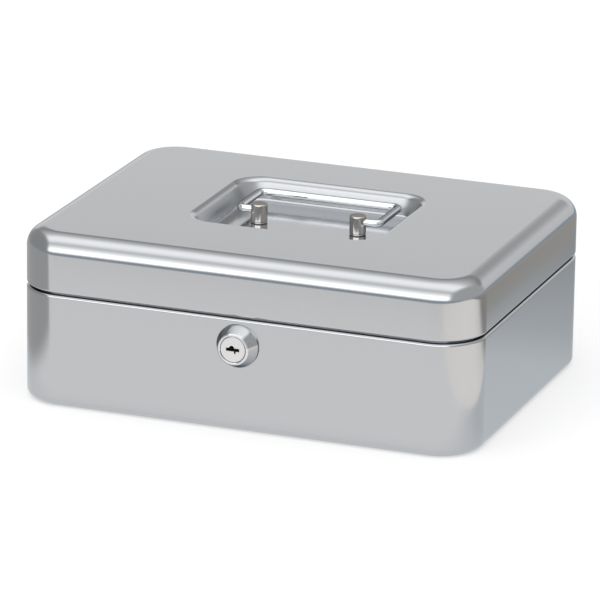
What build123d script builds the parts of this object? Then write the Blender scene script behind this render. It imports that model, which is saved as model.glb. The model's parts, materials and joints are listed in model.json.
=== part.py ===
"""Steel cash box with a drop-in coin tray, a folding carrying handle and a cam lock.

Units are millimetres. The origin is the centre of the box's underside. +Z is up, the lock
faces -Y and the lid's hinges are at +Y. The box is modelled shut and unlocked, with the
handle folded back flat.
"""
from build123d import *
import math
import os

# ---------------------------------------------------------------- driving dimensions
# Box
box_width = 250.0  # along X, over the outer faces
box_depth = 190.0  # along Y, over the outer faces
base_height = 60.5  # underside to the shoulder that the lid closes down on
lid_height = 30.5  # lid's rim to its top
sheet = 1.0  # gauge of the pressed steel
corner_radius = 24.0  # upright corners, outside
base_edge_radius = 4.5  # between the underside and the walls
lid_edge_radius = 10.4  # between the lid's top and its walls

# Seam
seam_gap = 1.0  # between the base's shoulder and the lid's rim
rim_radius = 1.5  # rolled edges of the shoulder and of the lid's rim
rim_width = 3.0  # how far the lid's rim turns in
rim_clearance = 0.5  # between the lid's rim and the base's lip
lip_rise = 7.5  # how far the lip stands up inside the lid
lip_edge_radius = 0.4

# Recess in the lid, and the handle in it
recess_width = 104.0  # along X, at the lid's top
recess_length = 86.0  # along Y, at the lid's top
recess_drop = 11.0
recess_draft = 24.0  # degrees from upright
recess_corner_radius = 15.0
recess_edge_radius = 4.0  # rolled mouth of the recess
recess_floor_radius = 2.0
recess_centre_y = 5.2
post_spacing = 55.0  # between the centres of the handle's posts
post_radius = 4.3
post_height = 10.2
post_edge = 0.5
tenon_radius = 2.4
tenon_clearance = 0.05
rivet_radius = 3.8
rivet_height = 1.2
rivet_edge_radius = 0.95
post_washer_radius = 6.0
post_washer_thickness = 1.0
wire_diameter = 4.0
wire_bend_radius = 3.6  # on the wire's centreline
wire_clearance = 0.06
wire_cover = 1.5  # metal over the wire's hole in a post
handle_width = 78.0  # between the centres of the handle's arms
handle_reach = 32.2  # pivot to the centre of the grip
wire_past_centre = 1.5  # how far a wire's end runs past its post's centre
wire_end_gap = 0.6

# Hinges
hinge_width = 40.0
hinge_margin = 7.0  # from a hinge's end to the start of the corner
leaf_thickness = 1.0
hinge_setback = 1.2  # hinge's axis in from the rear face; it sets where the lid stops
knuckle_radius = 2.2
pin_radius = 1.1
pin_clearance = 0.05
pin_head_radius = 1.6
pin_head_thickness = 0.6
outer_knuckle = 10.0  # length of each of the base leaf's two knuckles
knuckle_gap = 0.3
notch_clearance = 0.8
base_leaf_height = 20.0
lid_leaf_height = 15.0

# Lock
lock_drop = 14.2  # shoulder to the lock's axis
bezel_radius = 11.3
bezel_rim = 1.0
bezel_height = 7.5
bezel_face_radius = 8.4
bezel_edge = 0.5
barrel_radius = 8.75
barrel_flat = 8.0  # axis to each of the barrel's flats
barrel_clearance = 0.1
barrel_length = 12.0  # behind the front wall's outer face
plug_head_radius = 6.9
plug_head_length = 2.2
plug_sink = 0.25  # plug's face below the bezel's
plug_radius = 6.3
plug_clearance = 0.05
plug_edge = 0.35
face_gap = 0.1  # between faces that turn past each other
keyway_width = 7.2
keyway_height = 1.7
keyway_depth = 18.0
keyway_arch_radius = 1.5
keyway_arch_side = 0.6  # arch's centre to the left of the plug's
keyway_arch_rise = 0.57
keyway_hook_side = 1.2  # hook's centre to the right of the plug's
keyway_hook_drop = 1.19
keyway_hook_width = 0.94
tail_side = 7.0  # square that drives the stop washer and the cam
tail_clearance = 0.05
tail_corner_radius = 0.8
nut_wall = 3.25
nut_thickness = 4.0
washer_thickness = 0.8
washer_teeth = 16
washer_notch_length = 1.95  # between two teeth
washer_notch_width = 1.1
stop_thickness = 1.2
stop_span = 90.0  # degrees of the stop washer's lug
stop_travel = 90.0  # degrees that the plug turns
boss_clearance = 0.6  # between the plug and the stop boss beside it
cam_thickness = 1.8
cam_hub_radius = 6.6
hook_inner_radius = 15.0
hook_outer_radius = 19.0
hook_start = -25.0  # degrees from +X, unlocked
hook_span = 80.0
hook_arm_span = 14.0
screw_radius = 1.5
screw_clearance = 0.05
screw_length = 6.0
screw_head_radius = 3.6
screw_head_height = 2.2
screw_head_chamfer = 0.9
screw_slot = 0.9
wafer_count = 5
wafer_pitch = 2.2
wafer_thickness = 1.0
wafer_height = 5.6
wafer_clearance = 0.1
wafer_travel = 0.7  # how far the springs push the wafers out when the key is drawn
wafer_window_height = 2.4
wafer_tab_width = 1.2
wafer_tab_height = 1.7
spring_radius = 0.5  # wafer springs, on the wire's centreline
spring_wire_radius = 0.13
spring_pitch = 0.64
spring_cover = 0.6  # metal between a spring's pocket and the plug's outside
spring_clearance = 0.12

# Catch that hangs from the lid and takes the cam's hook
catch_width = 24.0
catch_sheet = 1.2
catch_over_lip = 1.5
staple_thickness = 2.0
staple_overhang = 4.0  # staple past the cam's plane, each way
staple_bar = 2.3  # depth of the bar under the hook
hook_clearance = 1.5  # between the hook and the staple's eye, each way

# Coin tray and the rails that carry it
tray_clearance = 2.6  # between the tray and the base's lip
tray_below_shoulder = 1.0
tray_height = 28.0
tray_wall = 1.8
tray_floor = 1.6
tray_divider = 1.6
tray_front_cups = 5
tray_rear_cups = 3
tray_front_share = 0.45  # front row's share of the tray's depth
tray_lock_clearance = 3.0
cup_corner_radius = 6.0
cup_scoop_radius = 5.5
tray_foot_radius = 2.0
finger_notch_radius = 11.0
finger_notch_drop = 9.0
rail_margin = 11.0  # from a rail's end to the start of the corner
rail_ledge = 12.0
rail_height = 11.0
rail_sheet = 1.0

# ---------------------------------------------------------------- places worked out from them
TOUCH = 0.01  # how near an edge lies to the height that it is looked for at
PAST = 5.0  # how far a cutter runs past what it cuts
JOIN = 1.0  # how far one outline runs into another that it joins
SECTOR_STEPS = 4
ON_BASE = (Align.CENTER, Align.CENTER, Align.MIN)

front_face = -box_depth / 2
rear_face = box_depth / 2
lid_bottom = base_height + seam_gap
box_height = lid_bottom + lid_height
lip_inset = rim_width + rim_clearance
lip_top = base_height + lip_rise
recess_floor = box_height - recess_drop
post_top = recess_floor + post_height
pivot_z = post_top - wire_cover - wire_diameter / 2
hinge_z = base_height + seam_gap / 2
hinge_y = rear_face - hinge_setback
hinge_x = box_width / 2 - corner_radius - hinge_margin - hinge_width / 2
lock_z = base_height - lock_drop
stop_front = barrel_length + face_gap
cam_front = stop_front + stop_thickness
cam_back = cam_front + cam_thickness
lock_reach = cam_back + screw_head_height
tray_top = base_height - tray_below_shoulder
tray_bottom = tray_top - tray_height
tray_inset = lip_inset + sheet + tray_clearance


# ---------------------------------------------------------------- shared shapes
def span_box(x, y, z):
    """Block between two places on each axis."""
    size = [high - low for low, high in (x, y, z)]
    middle = [(high + low) / 2 for low, high in (x, y, z)]
    return Pos(*middle) * Box(*size)


def slab(inset, bottom, top):
    """Block of the box's plan, set in from its outer faces, between two heights."""
    plan = RectangleRounded(
        box_width - 2 * inset, box_depth - 2 * inset, corner_radius - inset
    )
    return Pos(0, 0, bottom) * extrude(plan, amount=top - bottom)


def edges_at(shape, height):
    """Edges that lie level at one height."""
    return shape.edges().filter_by_position(Axis.Z, height - TOUCH, height + TOUCH)


def turned(*profile):
    """Solid turned on the lock's axis, from (depth behind the front face, radius) points."""
    outline = Polyline(*[(radius, depth) for depth, radius in profile], close=True)
    return Pos(0, front_face, lock_z) * revolve(make_face(outline), Axis.Y)


def rod(radius, start, end):
    """Round bar on the lock's axis between two depths."""
    return turned((start, 0), (start, radius), (end, radius), (end, 0))


def lock_plate(sketch, start, end):
    """Plate across the lock's axis between two depths, drawn as seen from the front."""
    plane = Plane((0, front_face + start, lock_z), x_dir=(1, 0, 0), z_dir=(0, -1, 0))
    return extrude(plane * sketch, amount=start - end)


def sector(inner, outer, start, span):
    """Part of a ring, from a start angle over a span, in degrees."""
    reach = 2 * outer
    steps = [start + span * step / SECTOR_STEPS for step in range(SECTOR_STEPS + 1)]
    rim = [
        (reach * math.cos(math.radians(a)), reach * math.sin(math.radians(a)))
        for a in steps
    ]
    return (Circle(outer) - Circle(inner)) & make_face(Polyline((0, 0), *rim, close=True))


def tail_sketch(clearance):
    """Square of the plug's tail."""
    side = tail_side + 2 * clearance
    return RectangleRounded(side, side, tail_corner_radius)


# ---------------------------------------------------------------- shells
def recess_block(grow, floor, top):
    """Block with the recess's drafted sides, grown outwards, between two heights."""
    lean = math.tan(math.radians(recess_draft))
    inset = (box_height - floor) * lean
    plan = RectangleRounded(
        recess_width + 2 * (grow - inset),
        recess_length + 2 * (grow - inset),
        recess_corner_radius + grow - inset,
    )
    block = extrude(plan, amount=top - floor, taper=-recess_draft)
    return Pos(0, recess_centre_y, floor) * block


def recess_edges(shape, height):
    """Edges of the recess, and not of the lid round it, at one height."""
    return [
        edge
        for edge in edges_at(shape, height)
        if abs(edge.center().Y - recess_centre_y) < recess_length / 2 + PAST
        and abs(edge.center().X) < recess_width / 2 + PAST
    ]


def hinge_notch(x, inner_y, low, high):
    """Cut that lets a hinge's knuckles through a rim."""
    half = hinge_width / 2 + knuckle_gap + pin_head_thickness
    return span_box((x - half, x + half), (inner_y, rear_face + PAST), (low, high))


def base_shell():
    """Lower shell: a pressed pan whose rim turns in at the shoulder and up into a lip."""
    outside = slab(0, 0, base_height)
    outside = fillet(edges_at(outside, 0), base_edge_radius)
    outside = fillet(edges_at(outside, base_height), rim_radius)
    inside = slab(sheet, sheet, base_height - sheet)
    inside = fillet(edges_at(inside, sheet), base_edge_radius - sheet)
    lip = slab(lip_inset, base_height - sheet, lip_top)
    mouth = slab(lip_inset + sheet, base_height - 2 * sheet, lip_top + PAST)
    shell = outside + lip - inside - mouth
    shell = fillet(edges_at(shell, lip_top), lip_edge_radius)
    for x in (-hinge_x, hinge_x):
        low = hinge_z - knuckle_radius - notch_clearance
        shell -= hinge_notch(x, rear_face - lip_inset, low, base_height + PAST)
    hole = Circle(barrel_radius + barrel_clearance) & Rectangle(
        2 * (barrel_flat + barrel_clearance), 2 * bezel_radius
    )
    return shell - lock_plate(hole, -PAST, sheet + PAST)


def lid_shell():
    """Upper shell: a pressed lid with a turned-in rim and a recess for the handle."""
    outside = slab(0, lid_bottom, box_height)
    outside = fillet(edges_at(outside, box_height), lid_edge_radius)
    outside = fillet(edges_at(outside, lid_bottom), rim_radius)
    inside = slab(sheet, lid_bottom + sheet, box_height - sheet)
    inside = fillet(edges_at(inside, box_height - sheet), lid_edge_radius - sheet)
    mouth = slab(rim_width, lid_bottom - PAST, lid_bottom + 2 * sheet)
    grow = sheet / math.cos(math.radians(recess_draft))
    tub = recess_block(grow, recess_floor - sheet, box_height - sheet / 2)
    tub = fillet(edges_at(tub, recess_floor - sheet), recess_floor_radius + sheet)
    shell = outside - inside - mouth + tub
    shell = fillet(recess_edges(shell, box_height - sheet), recess_edge_radius - sheet)
    hollow = recess_block(0, recess_floor, box_height + sheet)
    hollow = fillet(edges_at(hollow, recess_floor), recess_floor_radius)
    shell -= hollow
    shell = fillet(recess_edges(shell, box_height), recess_edge_radius)
    for x in (-hinge_x, hinge_x):
        high = hinge_z + knuckle_radius + notch_clearance
        shell -= hinge_notch(x, rear_face - rim_width - PAST, lid_bottom - PAST, high)
    for x in (-post_spacing / 2, post_spacing / 2):
        hole = Cylinder(tenon_radius + tenon_clearance, 2 * PAST)
        shell -= Pos(x, recess_centre_y, recess_floor) * hole
    return shell


# ---------------------------------------------------------------- handle
def handle_bail():
    """Carrying handle: one wire, bent at four corners, whose ends turn in to the posts."""
    end = post_spacing / 2 - wire_past_centre
    arm = handle_width / 2
    corners = [(-end, 0), (-arm, 0), (-arm, handle_reach), (arm, handle_reach), (arm, 0), (end, 0)]
    points = [(x, recess_centre_y + y, pivot_z) for x, y in corners]
    path = FilletPolyline(*points, radius=wire_bend_radius)
    start = Plane(points[0], z_dir=(-1, 0, 0))
    return sweep(start * Circle(wire_diameter / 2), path=path)


def handle_post(side):
    """Turned post, riveted through the recess's floor, with a cross hole for the wire."""
    post = Pos(0, 0, recess_floor) * Cylinder(post_radius, post_height, align=ON_BASE)
    post = chamfer(edges_at(post, post_top), post_edge)
    rivet_top = recess_floor - sheet - post_washer_thickness
    tenon = Pos(0, 0, rivet_top) * Cylinder(
        tenon_radius, recess_floor - rivet_top, align=ON_BASE
    )
    rivet = Pos(0, 0, rivet_top - rivet_height) * Cylinder(
        rivet_radius, rivet_height, align=ON_BASE
    )
    rivet = fillet(edges_at(rivet, rivet_top - rivet_height), rivet_edge_radius)
    hole_start = -wire_past_centre - wire_end_gap
    hole = Pos(hole_start, 0, pivot_z) * Rot(0, 90, 0) * Cylinder(
        wire_diameter / 2 + wire_clearance, post_radius + PAST, align=ON_BASE
    )
    whole = post + tenon + rivet - hole
    if side < 0:
        whole = Rot(0, 0, 180) * whole
    return Pos(side * post_spacing / 2, recess_centre_y, 0) * whole


def post_washers():
    """Washers between the recess's floor and the rivet heads."""
    bottom = recess_floor - sheet - post_washer_thickness
    ring = extrude(
        Circle(post_washer_radius) - Circle(tenon_radius + tenon_clearance),
        amount=post_washer_thickness,
    )
    return [
        Pos(x, recess_centre_y, bottom) * ring
        for x in (-post_spacing / 2, post_spacing / 2)
    ]


# ---------------------------------------------------------------- hinges
def knuckle(low_x, high_x):
    """Rolled knuckle about the hinge's axis."""
    tube = extrude(
        Circle(knuckle_radius) - Circle(pin_radius + pin_clearance), amount=high_x - low_x
    )
    return Pos(low_x, hinge_y, hinge_z) * Rot(0, 90, 0) * tube


def strap(low_x, high_x, low_z, high_z):
    """Flat stretch of a hinge leaf against the inside of the rear wall."""
    wall = rear_face - sheet
    bar = span_box((low_x, high_x), (wall - leaf_thickness, wall), (low_z, high_z))
    bore = Pos(low_x - PAST, hinge_y, hinge_z) * Rot(0, 90, 0) * Cylinder(
        pin_radius + pin_clearance, high_x - low_x + 2 * PAST, align=ON_BASE
    )
    return bar - bore


def hinge_base_leaf(x):
    """Leaf that is welded inside the base and carries the two outer knuckles."""
    half = hinge_width / 2
    top = hinge_z - knuckle_radius - notch_clearance
    leaf = strap(x - half, x + half, top - base_leaf_height, top)
    for low in (x - half, x + half - outer_knuckle):
        leaf += knuckle(low, low + outer_knuckle)
        leaf += strap(low, low + outer_knuckle, top - TOUCH, hinge_z)
    return leaf


def hinge_lid_leaf(x):
    """Leaf that is welded inside the lid and carries the middle knuckle."""
    half = hinge_width / 2
    inner = half - outer_knuckle - knuckle_gap
    bottom = hinge_z + knuckle_radius + notch_clearance
    leaf = strap(x - half, x + half, bottom, bottom + lid_leaf_height)
    leaf += knuckle(x - inner, x + inner)
    leaf += strap(x - inner, x + inner, hinge_z, bottom + TOUCH)
    return leaf


def hinge_pin(x):
    """Pin with a small head at each end."""
    half = hinge_width / 2
    pin = Pos(-half, 0, 0) * Rot(0, 90, 0) * Cylinder(pin_radius, 2 * half, align=ON_BASE)
    head = Rot(0, 90, 0) * Cylinder(pin_head_radius, pin_head_thickness, align=ON_BASE)
    pin += Pos(half, 0, 0) * head
    pin += Pos(-half - pin_head_thickness, 0, 0) * head
    return Pos(x, hinge_y, hinge_z) * pin


# ---------------------------------------------------------------- lock
def lock_body():
    """Bezel and barrel in one casting, with a stop boss on the barrel's end."""
    face = -bezel_height
    seat = face + plug_sink + plug_head_length
    head_bore = plug_head_radius + plug_clearance
    bore = plug_radius + plug_clearance
    body = turned(
        (face, head_bore + plug_edge),
        (face, bezel_face_radius - bezel_edge),
        (face + bezel_edge, bezel_face_radius),
        (-bezel_rim, bezel_radius),
        (0, bezel_radius),
        (0, barrel_radius),
        (barrel_length, barrel_radius),
        (barrel_length, bore),
        (seat, bore),
        (seat, head_bore),
        (face + plug_edge, head_bore),
    )
    for side in (-1, 1):
        near, far = sorted((side * barrel_flat, side * bezel_radius))
        depth = (front_face, front_face + barrel_length)
        body -= span_box((near, far), depth, (lock_z - bezel_radius, lock_z + bezel_radius))
    body -= wafer_grooves()
    free = stop_span + stop_travel
    boss = sector(plug_radius + boss_clearance, barrel_flat, free - stop_span / 2, 360 - free)
    return body + lock_plate(boss, barrel_length - face_gap, cam_front - 2 * face_gap)


def wafer_grooves():
    """Grooves along the bore that the wafers spring into, locked and unlocked."""
    reach = 2 * (plug_radius + wafer_travel + plug_clearance)
    width = wafer_height + 2 * wafer_clearance
    cross = Rectangle(reach, width) + Rectangle(width, reach)
    first, last = wafer_depths()[0], wafer_depths()[-1]
    return lock_plate(cross, first - wafer_thickness, last + 2 * wafer_thickness)


def keyway_sketch(grow=0.0):
    """Warded key slot, lying level: a bar with an arch above it and a hook below."""
    bar = Rectangle(keyway_width + 2 * grow, keyway_height + 2 * grow)
    arch = Pos(-keyway_arch_side, keyway_arch_rise) * Circle(keyway_arch_radius + grow)
    hook = Pos(keyway_hook_side, -keyway_hook_drop) * Rectangle(
        keyway_hook_width + 2 * grow, keyway_height + 2 * grow
    )
    return bar + arch + hook


def wafer_depths():
    """Depth of each wafer's front face."""
    first = -bezel_height + plug_sink + plug_head_length + wafer_thickness
    return [first + index * wafer_pitch for index in range(wafer_count)]


def wafer_sketch(grow):
    """Wafer's outline, grown: a plate across the plug with a tab for its spring."""
    reach = plug_radius - wafer_clearance + grow
    plate = Circle(reach) & Rectangle(2 * plug_radius, wafer_height + 2 * grow)
    tab = Pos(wafer_tab_width / 2, wafer_height / 2 + wafer_tab_height / 2) * Rectangle(
        wafer_tab_width + 2 * grow, wafer_tab_height + 2 * grow
    )
    return plate + tab


def spring_z():
    """Height of a wafer spring's axis over the lock's axis."""
    return wafer_height / 2 + wafer_tab_height / 2


def pocket_radius():
    """Radius of the pocket round a wafer's spring."""
    return spring_radius + spring_wire_radius + spring_clearance


def spring_seat():
    """Distance from a wafer's tab to the far end of its spring's pocket, inside the plug."""
    return math.sqrt((plug_radius - spring_cover) ** 2 - (spring_z() + pocket_radius()) ** 2)


def lock_plug():
    """Keyed plug: a headed cylinder with the key slot, wafer slots and a square tail."""
    face = -bezel_height + plug_sink
    seat = face + plug_head_length - face_gap
    plug = turned(
        (face, 0),
        (face, plug_head_radius - plug_edge),
        (face + plug_edge, plug_head_radius),
        (seat, plug_head_radius),
        (seat, plug_radius),
        (barrel_length, plug_radius),
        (barrel_length, 0),
    )
    plug += lock_plate(tail_sketch(0), barrel_length - TOUCH, cam_back)
    plug -= lock_plate(keyway_sketch(), face - PAST, face + keyway_depth)
    for depth in wafer_depths():
        slot = wafer_sketch(wafer_clearance)
        slot += Pos(wafer_travel, 0) * slot
        plug -= lock_plate(
            slot, depth - wafer_clearance, depth + wafer_thickness + wafer_clearance
        )
        plug -= spring_pocket(depth)
    return plug - rod(screw_radius + screw_clearance, cam_back - screw_length - face_gap, cam_back + PAST)


def spring_pocket(depth):
    """Round pocket beside one wafer's tab."""
    radius = pocket_radius()
    middle = front_face + depth + wafer_thickness / 2
    bore = Cylinder(radius, spring_seat() + spring_clearance, align=ON_BASE)
    return Pos(0, middle, lock_z + spring_z()) * Rot(0, -90, 0) * bore


def lock_wafers():
    """Wafers, held level with the plug as the right key holds them."""
    wafers = []
    for depth in wafer_depths():
        plate = wafer_sketch(0) - keyway_sketch(wafer_window_height - keyway_height)
        wafers.append(lock_plate(plate, depth, depth + wafer_thickness))
    return wafers


def wafer_springs():
    """One coil spring beside each wafer's tab."""
    length = spring_seat() - 2 * spring_wire_radius - spring_clearance
    helix = Helix(pitch=spring_pitch, height=length, radius=spring_radius)
    start = Plane(origin=helix @ 0, z_dir=helix % 0)
    coil = sweep(start * Circle(spring_wire_radius), path=helix)
    lift = Pos(0, 0, spring_wire_radius + spring_clearance / 2)
    return [
        Pos(0, front_face + depth + wafer_thickness / 2, lock_z + spring_z())
        * Rot(0, -90, 0)
        * lift
        * coil
        for depth in wafer_depths()
    ]


def lock_washer():
    """Toothed washer between the front wall and the nut."""
    outer = barrel_radius + nut_wall
    ring = Circle(outer) - Circle(barrel_radius + barrel_clearance)
    for index in range(washer_teeth):
        turn = Rot(0, 0, 360 * index / washer_teeth)
        ring -= turn * Pos(outer, 0) * Rectangle(washer_notch_length, washer_notch_width)
    return lock_plate(ring, sheet, sheet + washer_thickness)


def lock_nut():
    """Thin hexagon nut that clamps the lock in the front wall."""
    start = sheet + washer_thickness
    hexagon = RegularPolygon(barrel_radius + nut_wall, 6, major_radius=False)
    ring = hexagon - Circle(barrel_radius + barrel_clearance)
    return lock_plate(ring, start, start + nut_thickness)


def stop_washer():
    """Washer on the plug's tail, whose lug meets the boss at each end of the turn."""
    outline = Circle(plug_radius) + sector(plug_radius - JOIN, barrel_flat, -stop_span / 2, stop_span)
    return lock_plate(outline - tail_sketch(tail_clearance), stop_front, cam_front)


def lock_cam():
    """Flat cam with a hook that is curved about the lock's axis."""
    hook = sector(hook_inner_radius, hook_outer_radius, hook_start, hook_span)
    arm = sector(cam_hub_radius - JOIN, hook_outer_radius, hook_start, hook_arm_span)
    outline = Circle(cam_hub_radius) + hook + arm - tail_sketch(tail_clearance)
    return lock_plate(outline, cam_front, cam_back)


def cam_screw():
    """Slotted screw that holds the cam on the plug's tail."""
    head = turned(
        (cam_back, 0),
        (cam_back, screw_head_radius),
        (cam_back + screw_head_height - screw_head_chamfer, screw_head_radius),
        (cam_back + screw_head_height, screw_head_radius - screw_head_chamfer),
        (cam_back + screw_head_height, 0),
    )
    shank = rod(screw_radius, cam_back - screw_length + face_gap, cam_back + TOUCH)
    slot = Rectangle(2 * screw_head_radius, screw_slot)
    return head + shank - lock_plate(slot, cam_back + screw_head_height / 2, cam_back + PAST)


def lid_catch():
    """Bracket on the lid's front wall, with a staple that hangs down past the cam's plane."""
    wall = front_face + sheet
    half = catch_width / 2
    shelf = lip_top + catch_over_lip
    middle = front_face + (cam_front + cam_back) / 2
    staple_front = middle - cam_thickness / 2 - staple_overhang
    staple_back = middle + cam_thickness / 2 + staple_overhang
    hole_bottom = lock_z + hook_inner_radius - hook_clearance
    hole_top = lock_z + hook_outer_radius + hook_clearance
    edge = staple_overhang - staple_bar
    plate = span_box((-half, half), (wall, wall + catch_sheet), (shelf, box_height - lid_edge_radius))
    ledge = span_box((-half, half), (wall, staple_back), (shelf, shelf + catch_sheet))
    staple = span_box(
        (-staple_thickness / 2, staple_thickness / 2),
        (staple_front, staple_back),
        (hole_bottom - staple_bar, shelf + catch_sheet),
    )
    hole = span_box(
        (-staple_thickness, staple_thickness),
        (middle - cam_thickness / 2 - edge, middle + cam_thickness / 2 + edge),
        (hole_bottom, hole_top),
    )
    return plate + ledge + staple - hole


# ---------------------------------------------------------------- tray
def cup(x, y):
    """Cutter for one cup of the tray, between two places along X and along Y."""
    block = span_box(x, y, (tray_bottom + tray_floor, tray_top + PAST))
    block = fillet(block.edges().filter_by(Axis.Z), cup_corner_radius)
    return fillet(edges_at(block, tray_bottom + tray_floor), cup_scoop_radius)


def cups_across(low, high, count):
    """Evenly spaced stretches between two places, a divider apart."""
    width = (high - low - (count - 1) * tray_divider) / count
    starts = [low + index * (width + tray_divider) for index in range(count)]
    return [(start, start + width) for start in starts]


def coin_tray():
    """Lift-out moulded tray: a row of coin cups in front of three longer cups."""
    body = slab(tray_inset, tray_bottom, tray_top)
    body = fillet(edges_at(body, tray_bottom), tray_foot_radius)
    notch_half = max(catch_width / 2, hook_outer_radius) + tray_lock_clearance
    notch_back = front_face + lock_reach + tray_lock_clearance
    body -= span_box(
        (-notch_half, notch_half),
        (front_face, notch_back),
        (tray_bottom - PAST, tray_top + PAST),
    )
    side = box_width / 2 - tray_inset - tray_wall
    front = front_face + tray_inset + tray_wall
    rear = rear_face - tray_inset - tray_wall
    split = front + (rear - front) * tray_front_share
    for x in cups_across(-side, side, tray_front_cups):
        behind_notch = x[0] < notch_half and x[1] > -notch_half
        start = notch_back + tray_wall if behind_notch else front
        body -= cup(x, (start, split))
    for x in cups_across(-side, side, tray_rear_cups):
        body -= cup(x, (split + tray_divider, rear))
    for edge_x in (-1, 1):
        bore = Rot(0, 90, 0) * Cylinder(finger_notch_radius, 2 * tray_wall + PAST)
        place = edge_x * (box_width / 2 - tray_inset - tray_wall / 2)
        drop = tray_top + finger_notch_radius - finger_notch_drop
        body -= Pos(place, (split + rear) / 2, drop) * bore
    return body


def tray_rail(side):
    """Angle that is welded to a side wall and carries one edge of the tray."""
    wall = box_width / 2 - sheet
    half = box_depth / 2 - corner_radius - rail_margin
    leg = span_box((wall - rail_sheet, wall), (-half, half), (tray_bottom - rail_height, tray_bottom))
    ledge = span_box((wall - rail_ledge, wall), (-half, half), (tray_bottom - rail_sheet, tray_bottom))
    rail = leg + ledge
    return rail if side > 0 else Rot(0, 0, 180) * rail


# ---------------------------------------------------------------- output
def build():
    """Every sub-part, by node name."""
    return {
        "base_shell": base_shell(),
        "lid_shell": lid_shell(),
        "handle_bail": handle_bail(),
        "handle_post_left": handle_post(-1),
        "handle_post_right": handle_post(1),
        "post_washers": post_washers(),
        "hinge_base_leaf_left": hinge_base_leaf(-hinge_x),
        "hinge_base_leaf_right": hinge_base_leaf(hinge_x),
        "hinge_lid_leaf_left": hinge_lid_leaf(-hinge_x),
        "hinge_lid_leaf_right": hinge_lid_leaf(hinge_x),
        "hinge_pin_left": hinge_pin(-hinge_x),
        "hinge_pin_right": hinge_pin(hinge_x),
        "lock_body": lock_body(),
        "lock_plug": lock_plug(),
        "lock_wafers": lock_wafers(),
        "wafer_springs": wafer_springs(),
        "lock_washer": lock_washer(),
        "lock_nut": lock_nut(),
        "stop_washer": stop_washer(),
        "lock_cam": lock_cam(),
        "cam_screw": cam_screw(),
        "lid_catch": lid_catch(),
        "coin_tray": coin_tray(),
        "tray_rail_left": tray_rail(-1),
        "tray_rail_right": tray_rail(1),
    }


def write(parts, folder="parts"):
    """One STEP file per node. A list is written as a group of separate solids."""
    os.makedirs(folder, exist_ok=True)
    for node, shape in parts.items():
        if isinstance(shape, list):
            shape = Compound(children=shape)
        export_step(shape, os.path.join(folder, node + ".step"))


write(build())
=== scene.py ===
# %% [markdown]
# # A steel cash box
# The box comes in as a fixed frame of CAD parts: two pressed shells, a wire handle on two turned
# posts, a cam lock, two hinges and a coin tray. The CAD gives every part its true shape and
# place, so this lesson is about what the eye gets from them: a camera, a small studio, and one
# material for each finish. Where bright metal would show the facets of a CAD mesh, the part gets
# a finer piece of its own.

# %% Load the frame
import bmesh
import bpy
import json
import math
from mathutils import Matrix, Vector


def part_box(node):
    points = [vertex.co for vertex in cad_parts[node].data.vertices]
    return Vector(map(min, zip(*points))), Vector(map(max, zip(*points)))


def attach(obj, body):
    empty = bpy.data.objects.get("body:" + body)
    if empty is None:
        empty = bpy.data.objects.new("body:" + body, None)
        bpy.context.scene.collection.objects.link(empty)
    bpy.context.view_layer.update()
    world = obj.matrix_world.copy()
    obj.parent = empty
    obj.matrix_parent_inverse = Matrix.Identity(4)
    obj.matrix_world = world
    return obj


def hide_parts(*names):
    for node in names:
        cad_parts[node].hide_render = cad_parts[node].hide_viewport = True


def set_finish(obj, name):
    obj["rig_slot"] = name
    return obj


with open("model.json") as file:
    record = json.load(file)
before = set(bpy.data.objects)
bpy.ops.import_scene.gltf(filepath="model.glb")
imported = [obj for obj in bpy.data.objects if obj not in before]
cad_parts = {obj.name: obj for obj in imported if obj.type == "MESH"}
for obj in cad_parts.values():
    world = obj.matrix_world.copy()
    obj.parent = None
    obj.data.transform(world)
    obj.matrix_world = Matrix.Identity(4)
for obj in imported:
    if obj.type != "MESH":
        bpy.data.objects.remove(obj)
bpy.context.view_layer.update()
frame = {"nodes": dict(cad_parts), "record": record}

MM = 0.001


def deselect_all():
    """Operators act on everything that is selected, and loading leaves the CAD parts selected."""
    for thing in bpy.context.selected_objects:
        thing.select_set(False)


deselect_all()

# %% [markdown]
# ## Camera
# A camera that stands well back and has a long lens keeps the box's edges almost parallel. This
# one is nearly three metres off, a little to the right and above the lid. Its direction is worked
# out from those angles, so no empty or tracking constraint is needed.

# %% Long-lens camera
AZIMUTH, ELEVATION, ROLL = 20.48, 17.67, 0.81  # degrees
DISTANCE = 2.788  # metres
LENS = 318.9  # millimetres, on a 36 mm sensor
AIM = Vector((-0.0021, 0.0, 0.0426))  # metres


def aim_camera(azimuth, elevation, roll, distance, lens, aim):
    """Makes the scene's camera at those angles round a point."""
    a, e, r = (math.radians(v) for v in (azimuth, elevation, roll))
    back = Vector((math.sin(a) * math.cos(e), -math.cos(a) * math.cos(e), math.sin(e)))
    level = Vector((math.cos(a), math.sin(a), 0.0))
    upright = back.cross(level)
    right = math.cos(r) * level + math.sin(r) * upright
    up = -math.sin(r) * level + math.cos(r) * upright
    turn = Matrix((right, up, back)).transposed()
    data = bpy.data.cameras.new("camera")
    data.lens = lens
    data.sensor_width = 36.0
    data.clip_start, data.clip_end = 0.1, 20.0
    camera = bpy.data.objects.new("camera", data)
    bpy.context.collection.objects.link(camera)
    camera.matrix_world = Matrix.Translation(aim + back * distance) @ turn.to_4x4()
    bpy.context.scene.camera = camera
    return camera


camera = aim_camera(AZIMUTH, ELEVATION, ROLL, DISTANCE, LENS, AIM)
bpy.context.scene.view_settings.view_transform = "Standard"
print("camera", [round(v, 3) for v in camera.location])

# %% [markdown]
# ## Node helpers
# Materials, the world and the cards below are all node trees. One small function adds a node
# with its settings and links, and another turns the hex colours that painters use, which are
# sRGB, into the linear numbers that Blender works in.


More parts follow.
